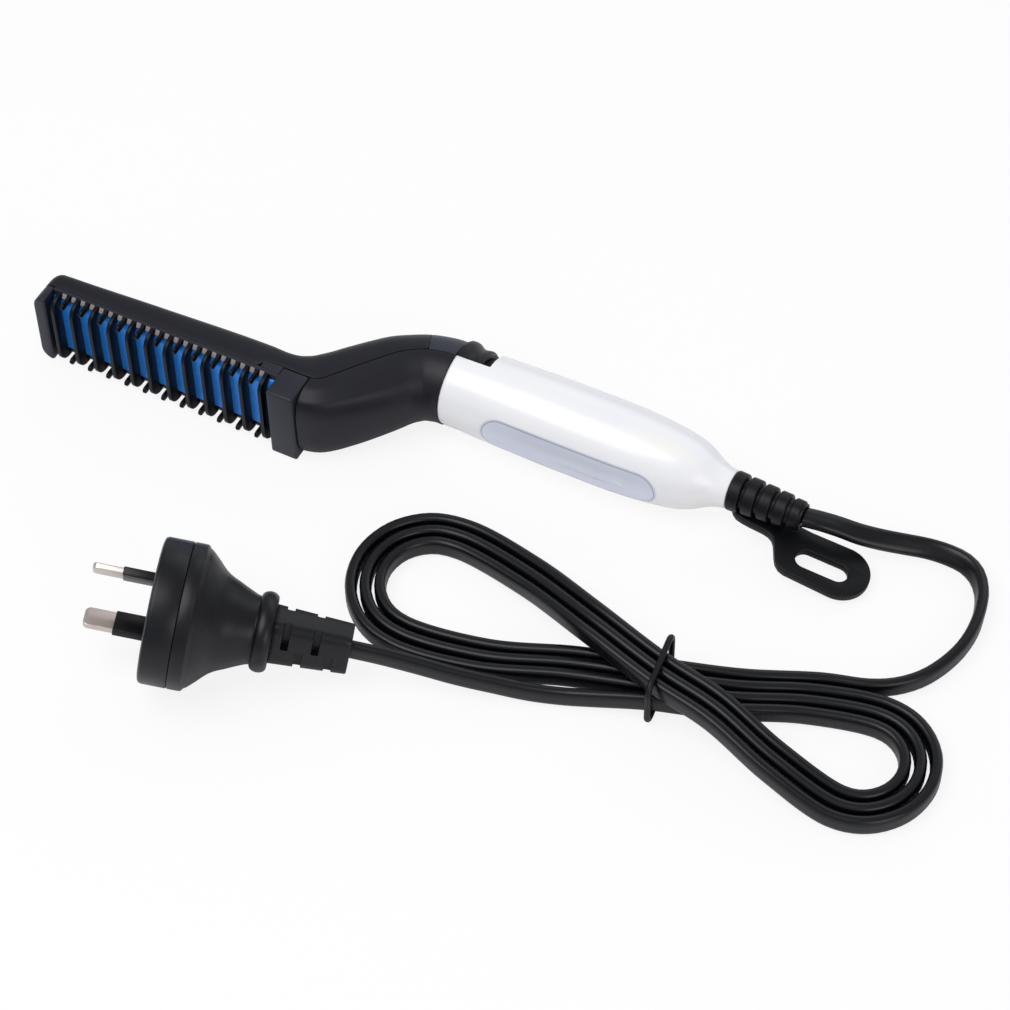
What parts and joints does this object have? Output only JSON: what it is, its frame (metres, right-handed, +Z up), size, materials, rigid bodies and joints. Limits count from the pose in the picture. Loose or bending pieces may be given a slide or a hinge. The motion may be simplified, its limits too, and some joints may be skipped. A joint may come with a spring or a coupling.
{
  "type": "beard straightener",
  "caption": "Corded beard straightener: heated ribbed comb on a bent neck, tubular handle with slide switch, hanging tab, flat lead in a tied hank and a two-pin plug.",
  "frame": {"origin": "middle of the underside of the device's own box, lead and plug apart, lying on its side", "axes": "+X along the handle from the comb's nose to the hanging tab, -Y the way the comb faces, +Z up"},
  "size_m": [0.286, 0.1442, 0.0405],
  "materials": {
    "shell_black": "matte moulded black",
    "comb_black": "matte heat-proof black",
    "bar_blue": "blue anodised",
    "element_cream": "ceramic",
    "film_amber": "polyimide film",
    "clamp_steel": "brushed",
    "fuse_tan": "lacquered",
    "screw_zinc": "zinc plated",
    "bridge_grey": "matte moulded dark grey",
    "knob_black": "fine matte",
    "switch_grey": "matte",
    "chassis_black": "matte",
    "board_green": "solder mask",
    "diode_black": "epoxy",
    "wire_white": "silicone",
    "sleeve_pearl": "pearl lacquer",
    "label_silver": "satin film, bare",
    "relief_black": "matte soft plastic",
    "cord_black": "satin",
    "tie_black": "matte",
    "plug_black": "matte moulded",
    "pin_nickel": "brushed nickel",
    "pin_sleeve_black": "matte"
  },
  "bodies": {
    "handle": {"head_shell": "shell_black", "neck_front": "shell_black", "comb_cage": "comb_black", "comb_ribs": "comb_black", "comb_teeth": "comb_black", "heater_bar": "bar_blue", "heating_element": "element_cream", "insulation_film": "film_amber", "heater_clamp": "clamp_steel", "thermal_fuse": "fuse_tan", "board_resistor": "fuse_tan", "heater_screws": "screw_zinc", "chassis_screws": "screw_zinc", "clamp_screws": "screw_zinc", "switch_bridge": "bridge_grey", "switch_body": "switch_grey", "cord_clamp": "switch_grey", "chassis_front": "chassis_black", "chassis_back": "chassis_black", "circuit_board": "board_green", "board_diode": "diode_black", "heater_leads": "wire_white", "handle_sleeve": "sleeve_pearl", "label_plate": "label_silver", "strain_relief": "relief_black", "cord_inlet": "cord_black", "cord_lead": "cord_black", "cord_hank": "cord_black", "cord_tail": "cord_black", "cord_tie": "tie_black", "plug_body": "plug_black", "plug_relief": "plug_black", "plug_pins": "pin_nickel", "pin_sleeves": "pin_sleeve_black"},
    "switch": {"switch_knob": "knob_black", "switch_lever": "clamp_steel"}
  },
  "joints": [
    {"name": "switch_slide", "type": "slide", "parent": "handle", "child": "switch", "axis": [1, 0, 0], "range_m": [0, 0.002]}
  ]
}
